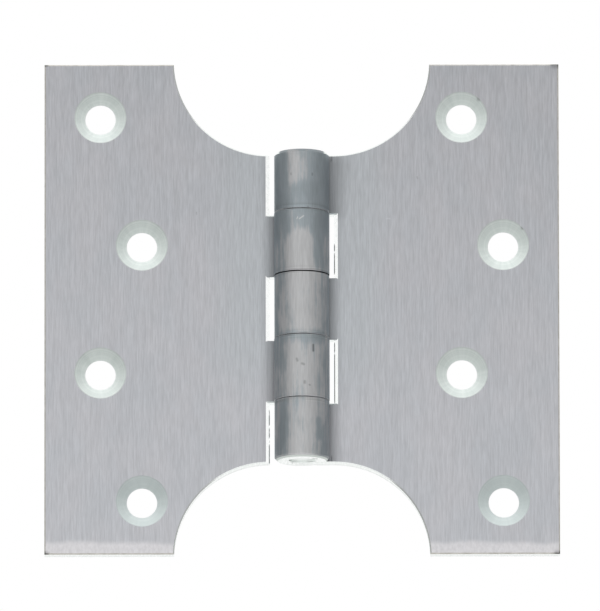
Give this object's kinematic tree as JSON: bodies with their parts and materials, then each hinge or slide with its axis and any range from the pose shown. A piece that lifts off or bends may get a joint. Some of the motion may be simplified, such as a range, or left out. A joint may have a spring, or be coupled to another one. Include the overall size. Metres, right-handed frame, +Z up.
{
  "type": "parliament hinge",
  "caption": "H-shaped steel door hinge with wide countersunk leaves, quarter-round cut-outs above and below a rolled barrel, and a fixed pin.",
  "frame": {"origin": "on the pin's axis at half the barrel's length, which is the middle of the opened hinge", "axes": "+Z up along the pin, +X from the door leaf to the frame leaf, +Y out of the leaves' backs towards the timber"},
  "size_m": [0.103, 0.011, 0.1],
  "materials": {
    "satin_leaf": "satin, brushed along the barrel",
    "pin_steel": "plain turned steel"
  },
  "bodies": {
    "frame_side": {"frame_leaf": "satin_leaf", "hinge_pin": "pin_steel"},
    "door_side": {"door_leaf": "satin_leaf"}
  },
  "joints": [
    {"name": "pin_turn", "type": "hinge", "parent": "frame_side", "child": "door_side", "pos_m": [0, 0, 0], "axis": [0, 0, 1], "range_deg": [-109, 180]}
  ]
}
